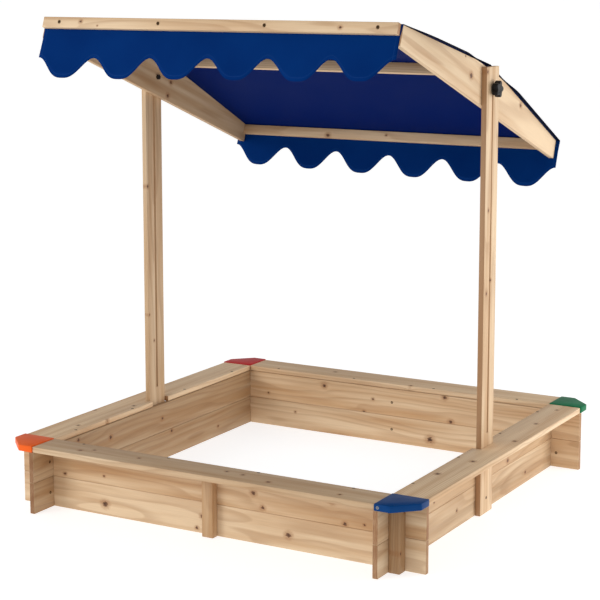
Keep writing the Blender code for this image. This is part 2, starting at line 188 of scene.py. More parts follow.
# %% Knots
def knot_group():
    """One knot: how many radii away a point is, and how far the knot pushes the rings aside."""
    tree = bpy.data.node_groups.new("knot", "ShaderNodeTree")
    for name in ("Along", "Across", "Knot along", "Knot across", "Radius"):
        tree.interface.new_socket(name, in_out="INPUT", socket_type="NodeSocketFloat")
    for name in ("Distance", "Push"):
        tree.interface.new_socket(name, in_out="OUTPUT", socket_type="NodeSocketFloat")
    given = tree.nodes.new("NodeGroupInput").outputs
    result = tree.nodes.new("NodeGroupOutput").inputs
    along = calc(tree, "DIVIDE", calc(tree, "SUBTRACT", given[0], given[2]), 1.2)
    across = calc(tree, "SUBTRACT", given[1], given[3])
    squares = calc(tree, "ADD", calc(tree, "POWER", calc(tree, "ABSOLUTE", along), 2.0),
                   calc(tree, "POWER", calc(tree, "ABSOLUTE", across), 2.0))
    distance = calc(tree, "DIVIDE", calc(tree, "SQRT", squares), given[4])
    fade = calc(tree, "EXPONENT", calc(tree, "MULTIPLY", distance, -0.45))
    tree.links.new(distance, result[0])
    tree.links.new(calc(tree, "MULTIPLY", across, calc(tree, "MULTIPLY", fade, -0.9)), result[1])
    return tree


KNOT = knot_group()
FAR_AWAY = 50.0


def add_knots(tree, along, across, knots):
    """The nearest knot's distance in radii, and all the knots' push together."""
    nearest, push = FAR_AWAY, 0.0
    for at, beside, radius in knots:
        knot = add_node(tree, "Group")
        knot.node_tree = KNOT
        for socket, value in zip(knot.inputs, (along, across, at, beside, radius)):
            feed(tree, socket, value)
        nearest = calc(tree, "MINIMUM", knot.outputs[0], nearest)
        push = calc(tree, "ADD", knot.outputs[1], push)
    return nearest, push


# %% Timber
def grain_frame(direction, about_x=0.0, about_y=0.0, about_z=0.0, centre=(0, 0, 0)):
    """A turn and a shift that lay the grain along X, counted from a centre."""
    turn = Euler((math.radians(about_x), math.radians(about_y), math.radians(about_z)))
    return turn, -(turn.to_matrix() @ Vector(centre)), direction


LEAN_DEGREES = math.degrees(LEAN)
GRAIN = {
    "X": grain_frame((1, 0, 0)),
    "Y": grain_frame((0, 1, 0), about_z=-90),
    "Z": grain_frame((0, 0, 1), about_y=90),
    "rafter": grain_frame((0, math.cos(LEAN), -math.sin(LEAN)), LEAN_DEGREES, 0, -90, PIVOT),
    "beam": grain_frame((1, 0, 0), LEAN_DEGREES, centre=PIVOT),
}
PALE = linear(224, 196, 160)
WARM = linear(190, 148, 104)
LATE = linear(154, 108, 68)
END_GRAIN = linear(186, 150, 118)
KNOT_HALO = linear(158, 104, 60)
KNOT_WOOD = linear(112, 66, 38)
KNOT_HEART = linear(48, 30, 20)


def timber(name, grain, wide_axis, seed, knots=(), warmth=0.5, shade=1.0, ring=0.0055,
           wander=0.05, bark_at=None):
    """Pine with its grain along an axis. wide_axis is the board's width after the turn.

    ring is the spacing of the growth rings, and wander how far they stray from round, both in
    metres. The last argument sets where a darker strip along one edge of the board begins.
    """
    dice = random.Random(seed)
    material, tree, shader = new_material(name)
    turn, shift, direction = GRAIN[grain]
    where = add_node(tree, "TexCoord")
    laid = add_node(tree, "Mapping", {"Vector": where.outputs["Object"], "Rotation": turn,
                                      "Location": shift})
    split = add_node(tree, "SeparateXYZ", {"Vector": laid.outputs[0]}).outputs
    along, wide, thick = split[0], split[1], split[2]
    if wide_axis == "Z":
        wide, thick = thick, wide
    nearest, push = add_knots(tree, along, wide, knots)

    trunk = (dice.uniform(0, 9), dice.uniform(0, 9), dice.uniform(0, 9))
    moved = vector_calc(tree, "ADD", laid.outputs[0], trunk)
    slow = noise_at(tree, vector_calc(tree, "MULTIPLY", moved, (1.1, 9.0, 9.0)), 1.0, 2.0)
    sway = add_node(tree, "SeparateXYZ", {"Vector": slow[1]}).outputs
    heart_wide = dice.uniform(-0.03, 0.03)
    heart_deep = dice.choice((-1, 1)) * dice.uniform(0.03, 0.07)
    heart_y = calc(tree, "MULTIPLY_ADD", sway[0], wander, heart_wide - wander / 2)
    heart_z = calc(tree, "MULTIPLY_ADD", sway[1], wander, heart_deep - wander / 2)
    flat = calc(tree, "ADD", calc(tree, "ADD", heart_y, wide), push)
    deep = calc(tree, "ADD", heart_z, thick)
    squares = calc(tree, "ADD", calc(tree, "MULTIPLY", flat, flat),
                   calc(tree, "MULTIPLY", deep, deep))
    rings = calc(tree, "FRACT", calc(tree, "DIVIDE", calc(tree, "SQRT", squares), ring))
    late = calc(tree, "MULTIPLY", step_between(tree, rings, 0.35, 0.88),
                step_between(tree, rings, 0.9, 1.0, 1.0, 0.0))

    streak = noise_at(tree, vector_calc(tree, "MULTIPLY", moved, (2.2, 42.0, 42.0)), 1.0, 3.0)[0]
    fibre = noise_at(tree, vector_calc(tree, "MULTIPLY", moved, (16.0, 800.0, 800.0)), 1.0, 2.0)[0]
    # warmth is partly the wood's own tone and partly painted shade; shade below scales the whole
    # colour as painted light and shade for each board.
    warm = calc(tree, "MULTIPLY_ADD", streak, 2.2, warmth - 1.1, clamp=True)
    colour = mix_colours(tree, warm, PALE, WARM)
    colour = mix_colours(tree, calc(tree, "MULTIPLY", late, 0.28), colour, LATE)
    fibre_tone = calc(tree, "MULTIPLY_ADD", fibre, 0.22, 0.89 * shade)
    grey = add_node(tree, "CombineColor", {part: fibre_tone for part in ("Red", "Green", "Blue")})
    colour = mix_colours(tree, 1.0, colour, grey.outputs[0], "MULTIPLY")
    # A darker strip along one edge of the board, across its width from the given line outward.
    if bark_at is not None:
        rim = step_between(tree, wide, bark_at - 0.0015, bark_at, 0.75, 0.0)
        colour = mix_colours(tree, rim, colour, LATE)

    if knots:
        fine = vector_calc(tree, "MULTIPLY", moved, (160, 320, 320))
        rough_rim = noise_at(tree, fine, 1.0, 3.0)[0]
        ragged = calc(tree, "ADD", nearest, calc(tree, "MULTIPLY_ADD", rough_rim, 1.4, -0.7))
        halo = step_between(tree, ragged, 0.8, 2.4, 0.5, 0.0)
        colour = mix_colours(tree, halo, colour, KNOT_HALO)
        ripple = calc(tree, "SINE", calc(tree, "MULTIPLY", ragged, 17.0))
        knot_rings = calc(tree, "MULTIPLY_ADD", ripple, 0.25, 0.35)
        knot_wood = mix_colours(tree, knot_rings, KNOT_WOOD, KNOT_HEART)
        inside = step_between(tree, ragged, 0.6, 0.95, 0.85, 0.0)
        colour = mix_colours(tree, inside, colour, knot_wood)
        pith = step_between(tree, ragged, 0.15, 0.45, 0.8, 0.0)
        colour = mix_colours(tree, pith, colour, KNOT_HEART)

    facing = vector_calc(tree, "DOT_PRODUCT", where.outputs["Normal"], direction)
    end = step_between(tree, calc(tree, "ABSOLUTE", facing), 0.75, 0.95)
    colour = mix_colours(tree, calc(tree, "MULTIPLY", end, 0.75), colour,
                         mix_colours(tree, 1.0, colour, END_GRAIN, "MULTIPLY"))
    tree.links.new(colour, shader.inputs["Base Color"])
    gloss = calc(tree, "MULTIPLY_ADD", fibre, 0.2, 0.48)
    tree.links.new(gloss, shader.inputs["Roughness"])
    shader.inputs["Specular IOR Level"].default_value = 0.35
    height = calc(tree, "MULTIPLY_ADD", late, -0.4, fibre)
    bump(tree, shader, height, 0.25, 0.0004)
    return material


# %% [markdown]
# ## Boards with eased edges
# Planed timber never has a knife edge: the machine takes about a millimetre off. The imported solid
# already has the right shape and place, so a merged copy of it is bevelled along its outer edges,
# and the copy stands for the solid. Edges in a notch or a hole stay crisp, as a saw leaves them.

# %% Eased copies
EASED = 0.0014           # what the machine takes off a board's edge
SHORTEST_EASED = 0.006   # shorter edges are left alone
SMOOTH_ANGLE = math.radians(35)


def merged_copy(name, unturn=Matrix.Identity(4)):
    """The solid's mesh as a clean bmesh, turned back to lie square."""
    bm = bmesh.new()
    bm.from_mesh(frame["nodes"][name].data)
    bm.transform(unturn)
    bmesh.ops.remove_doubles(bm, verts=bm.verts, dist=1e-5)
    bmesh.ops.dissolve_limit(bm, angle_limit=math.radians(1), verts=bm.verts, edges=bm.edges)
    return bm


def outer_edges(bm):
    """Sharp edges that lie on at least two sides of the piece's own box."""
    low = Vector(min(v.co[i] for v in bm.verts) for i in range(3))
    high = Vector(max(v.co[i] for v in bm.verts) for i in range(3))

    def sides(point):
        near = 1e-4
        return {(i, end) for i in range(3) for end, at in ((0, low[i]), (1, high[i]))
                if abs(point[i] - at) < near}

    return [edge for edge in bm.edges
            if len(edge.link_faces) == 2 and edge.calc_face_angle() > math.radians(30)
            and sides(edge.verts[0].co) & sides(edge.verts[1].co)
            and edge.calc_length() > SHORTEST_EASED and len(sides(edge.verts[0].co)) > 1]


def finish_piece(name, bm, body, material, stands_for=()):
    """Ends a bmesh as a piece of the object, riding on a body."""
    mesh = bpy.data.meshes.new(name)
    bm.to_mesh(mesh)
    bm.free()
    mesh.shade_smooth()
    mesh.set_sharp_from_angle(angle=SMOOTH_ANGLE)
    mesh.materials.append(material)
    piece = bpy.data.objects.new(name, mesh)
    bpy.context.collection.objects.link(piece)
    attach(piece, body)
    if stands_for:
        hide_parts(*stands_for)
    return piece


def eased(name, body, material, turn=Matrix.Identity(4), radius=EASED):
    bm = merged_copy(name, turn.inverted())
    bmesh.ops.bevel(bm, geom=outer_edges(bm), offset=radius, segments=2, profile=0.5,
                    affect="EDGES", material=-1)
    bm.transform(turn)
    return finish_piece("finished_" + name, bm, body, material, (name,))


# %% [markdown]
# ## Which board has which grain
# Grain runs along a board's length. Each board gets its own seed, because boards from different
# trunks are never alike. Its warmth is partly the wood's own tone and partly painted shade, and its
# shade is painted light and shade: darker for boards that sit in shade, lighter for lit ones. The
# knots that catch the eye are listed one by one, as (along, across, radius) in metres; a wall is as
# high as it is wide in this sense, and a side seat counts its width from right to left. The unseen
# boards have knots thrown by dice.

# %% Knots listed one by one
KNOTS = {
    "plank_front_lower": [(-0.326, 0.030, 0.008), (-0.029, 0.044, 0.005), (-0.045, 0.012, 0.004),
                          (0.219, 0.036, 0.007)],
    "plank_front_upper": [(-0.453, 0.093, 0.004), (-0.328, 0.104, 0.003), (0.120, 0.127, 0.006),
                          (0.339, 0.141, 0.007), (0.147, 0.093, 0.005), (0.374, 0.089, 0.005),
                          (0.426, 0.095, 0.003)],
    "plank_back_lower": [(0.126, 0.026, 0.009), (-0.330, 0.052, 0.003)],
    "plank_back_upper": [(-0.229, 0.146, 0.006), (-0.425, 0.101, 0.003), (-0.063, 0.125, 0.0035),
                         (0.172, 0.158, 0.006), (0.192, 0.088, 0.006), (-0.093, 0.083, 0.004)],
    "plank_left_upper": [(-0.249, 0.125, 0.006), (0.003, 0.121, 0.005), (-0.395, 0.152, 0.005)],
    "plank_left_lower": [(0.050, 0.074, 0.005), (0.300, 0.030, 0.004)],
    "plank_right_upper": [(0.175, 0.094, 0.006), (-0.285, 0.103, 0.003)],
    "plank_right_lower": [(-0.150, 0.045, 0.004), (0.300, 0.030, 0.004)],
    "seat_front": [(-0.367, -0.551, 0.005), (-0.336, -0.532, 0.004), (-0.195, -0.537, 0.004),
                   (0.060, -0.529, 0.004), (0.109, -0.534, 0.004), (0.193, -0.555, 0.005),
                   (0.390, -0.560, 0.004)],
    "seat_right": [(-0.151, -0.546, 0.006), (-0.293, -0.516, 0.006), (0.077, -0.563, 0.005),
                   (0.270, -0.545, 0.005), (0.438, -0.539, 0.004)],
    "seat_left": [(-0.259, 0.489, 0.005), (-0.353, 0.521, 0.004), (-0.103, 0.515, 0.004),
                  (-0.197, 0.580, 0.004)],
    "seat_back": [(-0.221, 0.546, 0.005), (0.057, 0.500, 0.004)],
    "mid_batten_front": [(0.138, 0.008, 0.003), (0.055, -0.012, 0.004)],
    "corner_batten_front_right": [(0.050, -0.530, 0.004), (0.145, -0.512, 0.003)],
    "post_right": [(0.580, -0.021, 0.004), (0.611, 0.006, 0.003), (0.792, -0.016, 0.004),
                   (1.140, -0.033, 0.004)],
    "post_left": [(0.793, -0.034, 0.004), (0.428, -0.034, 0.003), (0.350, -0.012, 0.003)],
    "rafter_left": [(0.068, 0.005, 0.006), (0.065, -0.035, 0.006), (0.009, 0.034, 0.006)],
    "rafter_right": [(-0.108, 0.001, 0.007), (0.224, 0.020, 0.006), (-0.157, 0.036, 0.0025)],
    "clamp_strip_front": [(-0.382, -0.010, 0.004), (-0.329, -0.020, 0.002), (0.352, -0.014, 0.004)],
    "inner_beam_rear": [(-0.200, -0.021, 0.006), (-0.010, -0.012, 0.003)],
}

# %% Warmth and shade of each board
# Painted light and shade: the second number darkens boards that sit in shade, such as the left
# inner wall and the front corner batten under its cap, and lightens lit ones, such as the side
# seats; the first, warmth, is partly the wood's own tone and partly painted shade.
LOOKS = {
    "plank_front_lower": (0.25, 1.00), "plank_front_upper": (0.60, 0.99),
    "plank_left_upper": (0.80, 0.76), "plank_left_lower": (0.70, 0.78),
    "plank_back_upper": (0.45, 1.07), "plank_back_lower": (0.40, 1.05),
    "plank_right_upper": (0.45, 0.94), "plank_right_lower": (0.35, 0.92),
    "mid_batten_front": (0.80, 0.90), "mid_batten_back": (0.60, 0.92),
    "seat_front": (0.40, 0.90), "seat_right": (0.25, 1.13), "seat_left": (0.30, 1.18),
    "seat_back": (0.25, 1.08), "corner_batten_front_right": (0.90, 0.74),
    "post_left": (0.35, 0.95), "post_right": (0.25, 1.06), "rafter_right": (0.05, 1.03),
    "rafter_left": (0.45, 0.86), "clamp_strip_front": (0.30, 1.04),
}
EVEN_LOOK = (0.4, 1.0)


def stray_knots(name):
    """Two knots thrown by dice on an upright batten."""
    low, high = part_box(name)
    dice = random.Random(name)
    return [(dice.uniform(low.z, high.z), dice.uniform(low.y, high.y), dice.uniform(0.003, 0.005))
            for _ in range(2)]


def board(name, body, grain, wide_axis, turn=Matrix.Identity(4), **cut):
    warmth, shade = LOOKS.get(name, EVEN_LOOK)
    seed = sorted(frame["nodes"]).index(name)
    knots = KNOTS.get(name) or (stray_knots(name) if grain == "Z" else ())
    material = timber("timber_" + name, grain, wide_axis, seed, knots,
                      warmth=warmth, shade=shade, **cut)
    return eased(name, body, material, turn)


# %% Boards of the box
for side, grain in (("front", "X"), ("back", "X"), ("left", "Y"), ("right", "Y")):
    for level in ("lower", "upper"):
        board(f"plank_{side}_{level}", "base", grain, "Z")
    board(f"seat_{side}", "base", grain, "Y")
for corner in ("front_left", "front_right", "back_right", "back_left"):
    board(f"corner_batten_{corner}", "base", "Z", "Y")
for side in ("front", "back"):
    board(f"mid_batten_{side}", "base", "Z", "Y")
# The right post gets a darker strip along its front edge.
for side, bark_at in (("left", None), ("right", -0.0365)):
    board(f"post_{side}", "base", "Z", "Y", ring=0.0045, bark_at=bark_at)

# %% Boards of the canopy
for side in ("left", "right"):
    board(f"rafter_{side}", "canopy", "rafter", "Z", TO_CANOPY, ring=0.0045, wander=0.02)
for name in ("ridge_beam", "inner_beam_front", "inner_beam_rear", "clamp_strip_front",
             "clamp_strip_rear"):
    board(name, "canopy", "beam", "Z", TO_CANOPY, ring=0.004)

# %% [markdown]
# ## Painted caps
# The corner caps are the same timber under a coat of bright paint. Paint rounds the edges, fills
# the grain and settles unevenly, so the bevel is larger, the bump is a faint orange peel, and the
# colour drifts a little over the piece.

# %% Paint
PAINTED_EDGE = 0.0022    # radius of an edge under its coat


def paint(name, colour, deep):
    material, tree, shader = new_material(name)
    where = add_node(tree, "TexCoord").outputs["Object"]
    drift = noise_at(tree, where, 22.0, 3.0)[0]
    tree.links.new(mix_colours(tree, drift, colour, deep), shader.inputs["Base Color"])
    peel = noise_at(tree, where, 900.0, 2.0)[0]
    fill = noise_at(tree, vector_calc(tree, "MULTIPLY", where, (60.0, 420.0, 60.0)), 1.0, 2.0)[0]
    bump(tree, shader, calc(tree, "ADD", peel, fill), 0.18, 0.0003)
    tree.links.new(calc(tree, "MULTIPLY_ADD", drift, 0.2, 0.3), shader.inputs["Roughness"])
    shader.inputs["Specular IOR Level"].default_value = 0.1
    return material


CAP_COLOURS = {
    "front_left": ("orange_paint", linear(250, 110, 40), linear(238, 92, 26)),
    "front_right": ("blue_paint", linear(2, 66, 128), linear(0, 52, 106)),
    "back_right": ("green_paint", linear(16, 122, 78), linear(8, 102, 64)),
    "back_left": ("red_paint", linear(206, 50, 50), linear(176, 36, 38)),
}
for corner, (slot_name, colour, deep) in CAP_COLOURS.items():
    eased(f"corner_cap_{corner}", "base", paint(slot_name + "_coat", colour, deep),
          radius=PAINTED_EDGE)

# %% [markdown]
# ## Metal and plastic
# Zinc plate is bright but clouded, so its roughness wanders. Moulded plastic has a fine spark
# texture. The screws are yellow-brown from their passivation.

# %% Small finishes
def metal(name, colour, rough):
    material, tree, shader = new_material(name)
    where = add_node(tree, "TexCoord").outputs["Object"]
    tone = noise_at(tree, where, 60.0, 3.0)[0]
    shader.inputs["Metallic"].default_value = 1.0
    darker = tuple(0.7 * part for part in colour[:3]) + (1.0,)
    tree.links.new(mix_colours(tree, tone, colour, darker), shader.inputs["Base Color"])
    tree.links.new(calc(tree, "MULTIPLY_ADD", tone, 0.25, rough - 0.12), shader.inputs["Roughness"])
    bump(tree, shader, noise_at(tree, where, 1500.0, 2.0)[0], 0.1, 0.0001)
    return material


def moulded(name, colour):
    material, tree, shader = new_material(name)
    where = add_node(tree, "TexCoord").outputs["Object"]
    grain = noise_at(tree, where, 1800.0, 2.0)[0]
    dust = noise_at(tree, where, 40.0, 3.0)[0]
    lighter = tuple(min(1.0, 2.2 * part) for part in colour[:3]) + (1.0,)
    tree.links.new(mix_colours(tree, dust, colour, lighter), shader.inputs["Base Color"])
    tree.links.new(calc(tree, "MULTIPLY_ADD", grain, 0.2, 0.34), shader.inputs["Roughness"])
    shader.inputs["Specular IOR Level"].default_value = 0.18
    bump(tree, shader, grain, 0.3, 0.0001)
    return material


ZINC = metal("zinc_plate", linear(150, 148, 146), 0.35)
DARK_ZINC = metal("bolt_steel", linear(84, 78, 72), 0.42)
SCREW_METAL = metal("screw_steel", linear(84, 64, 44), 0.45)
BRASS = metal("brass_bush", linear(198, 160, 92), 0.3)
PLASTIC = moulded("black_knob", linear(13, 13, 14))


def dress(name, material):
    """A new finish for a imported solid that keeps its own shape."""
    for held in frame["nodes"][name].material_slots:
        held.material = material


for side in ("left", "right"):
    dress(f"pivot_bolt_{side}", DARK_ZINC)
    dress(f"washer_{side}", ZINC)
    dress(f"knob_insert_{side}", BRASS)

# %% [markdown]
# ## Wood screws
# A countersunk screw is a turned shape with a cross pressed into its head. One is turned from a
# profile with spin, the cross is cut with two crossed bars, and every screw is a copy of it.

# %% One screw
HEAD_RADIUS = 0.004
HEAD_DEPTH = 0.0028
SHANK_RADIUS = 0.0017
SCREW_LENGTH = 0.024
SCREW_POINT = 0.005                 # length of the tapered tip
HEAD_RIM = 0.0003                   # bevel round the head's face
CROSS = (0.0050, 0.0009, 0.0014)    # length, width and depth of an arm


def box_part(bm, size):
    made = bmesh.ops.create_cube(bm, size=1.0)["verts"]
    bmesh.ops.scale(bm, vec=size, verts=made)


def turned(profile, steps):
    """A closed turned shape round Z from (radius, height) points that start and end on the axis."""
    bm = bmesh.new()
    line = [bm.verts.new((radius, 0, height)) for radius, height in profile]
    edges = [bm.edges.new(pair) for pair in zip(line, line[1:])]
    bmesh.ops.spin(bm, geom=line + edges, cent=(0, 0, 0), axis=(0, 0, 1), dvec=(0, 0, 0),
                   angle=2 * math.pi, steps=steps, use_merge=True)
    bmesh.ops.remove_doubles(bm, verts=bm.verts, dist=1e-6)
    bmesh.ops.recalc_face_normals(bm, faces=bm.faces)
    return bm


def cut_away(target, cutter):
    """The target's mesh less the cutter's, both bmeshes; returns a new bmesh."""
    objects = []
    for label, bm in (("whole", target), ("cutter", cutter)):
        mesh = bpy.data.meshes.new(label)
        bm.to_mesh(mesh)
        bm.free()
        made = bpy.data.objects.new(label, mesh)
        bpy.context.collection.objects.link(made)
        objects.append(made)
    whole, knife = objects
    bite = whole.modifiers.new("bite", "BOOLEAN")
    bite.object = knife
    bite.solver = "EXACT"
    bite.use_self = True
    done = bmesh.new()
    done.from_object(whole, bpy.context.evaluated_depsgraph_get())
    for made in objects:
        bpy.data.objects.remove(made, do_unlink=True)
    return done


def make_screw():
    """A screw pointing down Z, its head's face at the origin."""
    profile = [(0, 0), (HEAD_RADIUS - HEAD_RIM, 0), (HEAD_RADIUS, -HEAD_RIM),
               (SHANK_RADIUS, -HEAD_DEPTH), (SHANK_RADIUS, SCREW_POINT - SCREW_LENGTH),
               (0, -SCREW_LENGTH)]
    cross = bmesh.new()
    length, width, depth = CROSS
    box_part(cross, (length, width, 2 * depth))
    box_part(cross, (width, length, 2 * depth))
    return cut_away(turned(profile, 24), cross)


screw_bm = make_screw()
SCREW = bpy.data.meshes.new("screw")
screw_bm.to_mesh(SCREW)
screw_bm.free()
print("faces in a screw:", len(SCREW.polygons))


def add_screws(name, body, places, stands_for=(), metal_finish=SCREW_METAL):
    """Screws at (head place, outward direction), joined into one piece."""
    bm = bmesh.new()
    dice = random.Random(name)
    for place, outward in places:
        before = set(bm.verts)
        bm.from_mesh(SCREW)
        fresh = [vert for vert in bm.verts if vert not in before]
        turn = Vector(outward).to_track_quat("Z", "Y").to_matrix().to_4x4()
        spin = Matrix.Rotation(dice.uniform(0, math.pi), 4, "Z")
        bmesh.ops.transform(bm, matrix=Matrix.Translation(place) @ turn @ spin, verts=fresh)
    return finish_piece(name, bm, body, metal_finish, stands_for)


# %% Screws in the box
PROUD = 0.0002             # how far a head stands out of the wood
SEAT_SCREW_IN = 0.0085     # from a wall's inner face
CAP_SCREW_IN = 0.010       # from the side of the blue cap next to the front seat
plank_low, plank_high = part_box("plank_front_lower")
wall_face = -plank_high.y  # inner face of a wall, from the centre
head_face = wall_face - PROUD
course_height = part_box("plank_front_upper")[0].z - plank_low.z
levels = [(plank_high.z - plank_low.z) / 2 + course * course_height for course in (0, 1)]
batten_low, batten_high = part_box("corner_batten_back_right")
batten_line = (batten_low.x + batten_high.x) / 2
seat_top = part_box("seat_front")[1].z
SEAT_SCREWS = (-0.394, -0.132, 0.132, 0.394)

corner_places = []
seat_places = []
for sx in (-1, 1):
    for sy in (-1, 1):
        for height in levels:
            corner_places.append(((sx * batten_line, sy * head_face, height), (0, -sy, 0)))
            corner_places.append(((sx * head_face, sy * batten_line, height), (-sx, 0, 0)))
for along in SEAT_SCREWS:
    for sign in (-1, 1):
        edge = sign * (wall_face + SEAT_SCREW_IN)
        seat_places.append(((along, edge, seat_top + PROUD), (0, 0, 1)))
        seat_places.append(((edge, along, seat_top + PROUD), (0, 0, 1)))
cap_low, cap_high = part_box("corner_cap_front_right")
cap_place = (cap_low.x + CAP_SCREW_IN, cap_low.y - PROUD, (cap_low.z + cap_high.z) / 2)
batten_places = [((0, sign * head_face, height), (0, -sign, 0))
                 for sign in (-1, 1) for height in levels]
add_screws("corner_screws", "base", corner_places)
add_screws("seat_screws", "base", seat_places)
add_screws("batten_screws", "base", batten_places)
add_screws("cap_screw", "base", [(cap_place, (0, -1, 0))], metal_finish=ZINC)
for side, sign in (("left", -1), ("right", 1)):
    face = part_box(f"post_{side}")[0 if sign < 0 else 1].x
    for level in ("lower", "upper"):
        node = f"post_screw_{side}_{level}"
        add_screws("finished_" + node, "base", [((face, 0, middle(node).z), (sign, 0, 0))], (node,))

# %% Screws in the clamp strips
STRIP_SCREW_HALF = 0.013   # half a screw's length, from its middle to its head

for side, sign in (("front", -1), ("rear", 1)):
    outward = (TO_CANOPY.to_3x3() @ Vector((0, sign, 0))).normalized()
    for number in range(1, 5):
        node = f"strip_screw_{side}_{number}"
        head = middle(node) + outward * STRIP_SCREW_HALF
        add_screws("finished_" + node, "canopy", [(head, outward)], (node,))

# %% [markdown]
# ## Clamp knobs
# A moulded star knob: five fat lobes for a small hand to pull on, a dished face, a boss against
# the washer. A circle with its radius swung five times a turn is extruded, both rims are rounded,
# and the outer face is inset and pushed in.

# %% Knobs
KNOB_LOBES = 5
LOBE_STEPS = 20          # sides of the outline in one lobe
KNOB_VALLEY = 0.70       # radius between two lobes, as a share of the radius at a tip
FATNESS = 0.8            # under 1 makes the lobes wider than the valleys
BOSS = 0.002             # height of the boss against the washer
BOSS_INSET = 0.0022
RIM = 0.0028             # rounding of both rims
DISH_INSET, DISH_DEPTH = 0.0035, 0.0012


def make_knob(side, sign):
    node = f"knob_{side}"
    low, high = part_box(node)
    foot = high.x if sign < 0 else low.x
    tip, thick = (high.z - PIVOT.z), (high.x - low.x)
    bm = bmesh.new()
    bmesh.ops.create_circle(bm, cap_ends=True, segments=KNOB_LOBES * LOBE_STEPS, radius=1.0)
    for vert in bm.verts:
        angle = math.atan2(vert.co.x, vert.co.y)
        lobe = (0.5 + 0.5 * math.cos(KNOB_LOBES * angle)) ** FATNESS
        vert.co *= tip * (KNOB_VALLEY + (1 - KNOB_VALLEY) * lobe)
    body = bmesh.ops.extrude_face_region(bm, geom=list(bm.faces))["geom"]
    raised = [part for part in body if isinstance(part, bmesh.types.BMVert)]
    bmesh.ops.translate(bm, vec=(0, 0, thick - BOSS), verts=raised)
    bmesh.ops.recalc_face_normals(bm, faces=bm.faces)
    rims = [edge for edge in bm.edges if edge.calc_face_angle() > math.radians(60)]
    bmesh.ops.bevel(bm, geom=rims, offset=RIM, segments=4, profile=0.5, affect="EDGES",
                    material=-1)
    top = max(bm.faces, key=lambda face: face.calc_center_median().z)
    bmesh.ops.inset_region(bm, faces=[top], thickness=DISH_INSET, depth=-DISH_DEPTH)
    base = min(bm.faces, key=lambda face: face.calc_center_median().z)
    bmesh.ops.inset_region(bm, faces=[base], thickness=BOSS_INSET, depth=0.0)
    grown = bmesh.ops.extrude_discrete_faces(bm, faces=[base])["faces"]
    bmesh.ops.translate(bm, vec=(0, 0, -BOSS), verts=grown[0].verts)
    turn = Matrix.Rotation(math.radians(90 * sign), 4, "Y")
    bm.transform(Matrix.Translation((foot + sign * BOSS, 0, PIVOT.z)) @ turn)
    return finish_piece("finished_" + node, bm, f"{side}_knob", PLASTIC, (node,))


make_knob("left", -1)
make_knob("right", 1)

# %% [markdown]
# ## The cover
# One length of coated polyester runs from the front hem up behind the clamp strip, over both
# slopes, and down behind the rear strip to the other hem. It is laid out level in the canopy's own
# axes as a grid, one row for each step along that path, and turned to the canopy's lean at the end.

# %% The cover's path
COVER_THICK = 0.0012
HALF_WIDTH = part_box("canopy_cover")[1].x - 0.0002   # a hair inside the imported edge
POST_HALF_WIDTH = 0.5028           # side edge beside a post
BAY_NEAR, BAY_FADE = 0.080, 0.10   # where the edge starts to step out, and over what run
FRONT_TUCK = 0.8                   # how far the clamp strip draws the front corners in
BETWEEN_RAFTERS = 0.488            # half the width that can sag
LOBES = 6
VALANCE_HALF_WIDTH = {-1: 0.5000, 1: 0.5138}   # these four are for the front, then the rear
NOTCH = {-1: 0.0920, 1: 0.0675}    # bolt level to the top of a notch
SKEW = {-1: -0.010, 1: 0.008}      # how much deeper a valance hangs at its right end
LOBE_DROP = {-1: 0.0535, 1: 0.0580}
END = 0.5069                       # middle of the cloth, where it hangs
FOLD_HEIGHT = 0.0009               # the fold's height over the bolts, and the ridge's
RIDGE_HEIGHT = 0.0618
SAG = 0.004
HELD = 0.03                        # a valance is held flat this far below its fold
FREE_DROP = 0.13                   # and is fully loose after this much more
SWAY = 0.010                       # how far loose cloth stands out or in


def hem_depth(across, side):
    """How far the hem hangs below the bolts' level, across from -1 to 1."""
    turns = (across + 1) / 2 * LOBES
    lobe = LOBE_DROP[side] * (1 - abs(math.cos(math.pi * turns)) ** 3)
    return NOTCH[side] + SKEW[side] * across + lobe


def cover_point(across, side, part, share):
    """A point of the cover.

    On the "slope" part, share runs from 0 at the ridge to 1 at the fold. On the "valance" part it
    runs from 0 at the fold to 1 at the hem.
    """
    if part == "slope":
        run = END * share
        bay = 1 - min(1, max(0, (run - BAY_NEAR) / BAY_FADE))
        drawn_in = max(bay, FRONT_TUCK * max(0.0, 3 * share - 2)) if side < 0 else bay
        tuck = (HALF_WIDTH - POST_HALF_WIDTH) * drawn_in * drawn_in * (3 - 2 * drawn_in)
        x = across * (HALF_WIDTH - tuck)
        height = RIDGE_HEIGHT + (FOLD_HEIGHT - RIDGE_HEIGHT) * share
        between = max(0.0, 1 - (abs(x) / BETWEEN_RAFTERS) ** 4)
        free = between * math.sin(math.pi * min(1, share)) ** 0.8
        ripple = noise.noise(Vector((x * 5.0, side * run * 7.0, 3.0)))
        height -= SAG * free * (0.75 + 0.5 * ripple)
        return Vector((x, side * run, height))
    down = FOLD_HEIGHT + (-hem_depth(across, side) - FOLD_HEIGHT) * share
    folded = min(1.0, max(0.0, (FOLD_HEIGHT - down) / HELD))
    at_fold = abs(cover_point(1.0, side, "slope", 1.0).x)
    x = across * (at_fold + (VALANCE_HALF_WIDTH[side] - at_fold) * folded)
    loose = max(0.0, (-down - HELD) / FREE_DROP)
    sway = noise.noise(Vector((x * 7.0, 1.7 * side, down * 6.0))) * SWAY * loose
    return Vector((x, side * END + side * sway, down))


# %% [markdown]
# The grid is made once by the operator that makes grids, wide enough for the scallops to look
# round, and every point is then moved to its place on the path. The unwrapped grid gives the
# weave its own coordinates, in metres of cloth.

# %% The cover's mesh
ACROSS_STEPS = 192
SLOPE_STEPS = 24
VALANCE_STEPS = 10


